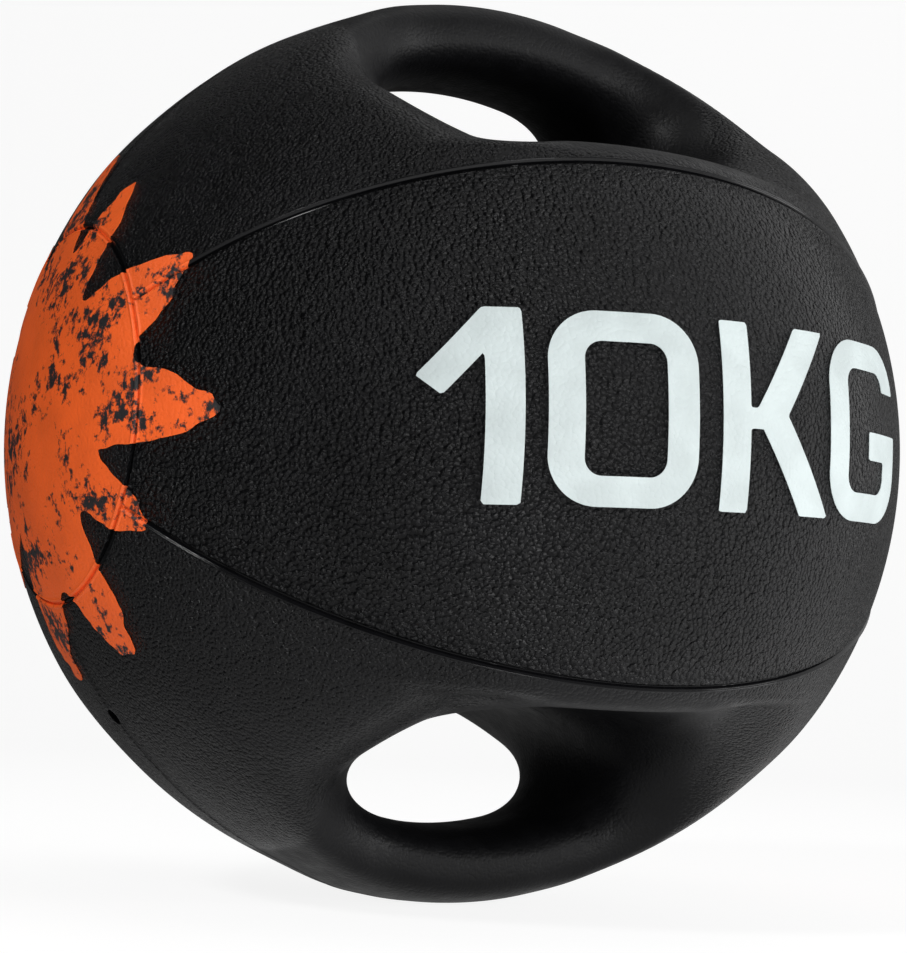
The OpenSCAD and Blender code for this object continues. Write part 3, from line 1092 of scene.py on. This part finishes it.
def paper_profile():
    """The paper seen from its side: flat under the ball, then curving up into a wall behind it."""
    profile = [(-STAGE_HALF_DEPTH, 0.0), (STAGE_HALF_DEPTH, 0.0)]
    for a in np.linspace(0.1, math.pi / 2, 16):
        along = STAGE_HALF_DEPTH + STAGE_CURVE_R * math.sin(a)
        profile.append((along, STAGE_CURVE_R - STAGE_CURVE_R * math.cos(a)))
    profile.append((STAGE_HALF_DEPTH + STAGE_CURVE_R, STAGE_HEIGHT))
    return profile


def build_backdrop():
    """A pale floor that curves up into a wall behind the ball."""
    floor_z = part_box("lower_grip_panel")[0][2]
    turn = Matrix.Rotation(VIEW_AZIMUTH, 4, "Z")
    profile = paper_profile()
    bm = bmesh.new()
    rows = []
    for side in (-STAGE_HALF_WIDTH, STAGE_HALF_WIDTH):
        rows.append([bm.verts.new(turn @ Vector((side, y, floor_z + z))) for y, z in profile])
    for i in range(len(profile) - 1):
        bm.faces.new([rows[0][i], rows[1][i], rows[1][i + 1], rows[0][i + 1]])
    mesh = bpy.data.meshes.new("studio_floor")
    bm.to_mesh(mesh)
    bm.free()
    mesh.shade_smooth()
    mesh.materials.append(make_paper())
    backdrop = bpy.data.objects.new("studio_floor", mesh)
    bpy.context.scene.collection.objects.link(backdrop)


def add_light(name, azimuth, elevation, distance, size, power):
    """A soft box aimed at the ball."""
    data = bpy.data.lights.new(name, "AREA")
    data.shape = "RECTANGLE"
    data.size, data.size_y = size
    data.energy = power
    light = bpy.data.objects.new(name, data)
    side = camera_side(azimuth, elevation)
    light.location = side * distance
    light.rotation_euler = side.to_track_quat("Z", "Y").to_euler()
    bpy.context.scene.collection.objects.link(light)


def build_world():
    """Bright air behind the ball's right side, fading to dim air round its left and behind the camera."""
    world = bpy.data.worlds.new("studio_air")
    world.use_nodes = True
    tree = world.node_tree
    background = tree.nodes["Background"]
    background.inputs["Color"].default_value = (1, 1, 1, 1)
    place = tree.nodes.new("ShaderNodeTexCoord")
    facing = tree.nodes.new("ShaderNodeVectorMath")
    facing.operation = "DOT_PRODUCT"
    facing.inputs[1].default_value = camera_side(112, 14)
    tree.links.new(place.outputs["Generated"], facing.inputs[0])
    ramp = tree.nodes.new("ShaderNodeMapRange")
    ramp.interpolation_type = "SMOOTHSTEP"
    ramp.inputs["From Min"].default_value = 0.1
    ramp.inputs["From Max"].default_value = 1.0
    ramp.inputs["To Min"].default_value = AIR_DIM
    ramp.inputs["To Max"].default_value = AIR_BRIGHT
    tree.links.new(facing.outputs["Value"], ramp.inputs["Value"])
    tree.links.new(ramp.outputs["Result"], background.inputs["Strength"])
    bpy.context.scene.world = world


def build_lights():
    add_light("key_box", -40, 36, 1.6, (0.25, 0.25), 9)
    add_light("second_box", 28, 5, 1.6, (0.35, 0.35), 9)
    add_light("right_box", 84, 0, 1.8, (0.6, 1.0), 14)
    add_light("top_box", 20, 84, 1.5, (0.8, 0.8), 3)
    bpy.context.scene.view_settings.view_transform = "Standard"


def build_camera():
    """The camera, at the photo's viewing angle and rolled about its line of sight."""
    data = bpy.data.cameras.new("camera")
    data.sensor_width = 36
    data.sensor_fit = "AUTO"
    data.lens = LENS_MM
    camera = bpy.data.objects.new("camera", data)
    back = direction(VIEW_AZIMUTH, VIEW_ELEVATION)
    location = back * VIEW_DISTANCE
    level_right = Vector((0, 0, 1)).cross(back).normalized()
    level_up = back.cross(level_right)
    right = level_right * math.cos(VIEW_ROLL) + level_up * math.sin(VIEW_ROLL)
    up = back.cross(right)
    aim = up * -AIM_BELOW
    view = (location - aim).normalized()
    right = up.cross(view).normalized()
    up = view.cross(right)
    rotation = Matrix((right, up, view)).transposed()
    camera.matrix_world = Matrix.Translation(location) @ rotation.to_4x4()
    bpy.context.scene.collection.objects.link(camera)
    bpy.context.scene.camera = camera


finishes = make_materials()
build_ball(finishes)
dress_hidden_parts(finishes)
build_backdrop()
build_world()
build_lights()
build_camera()
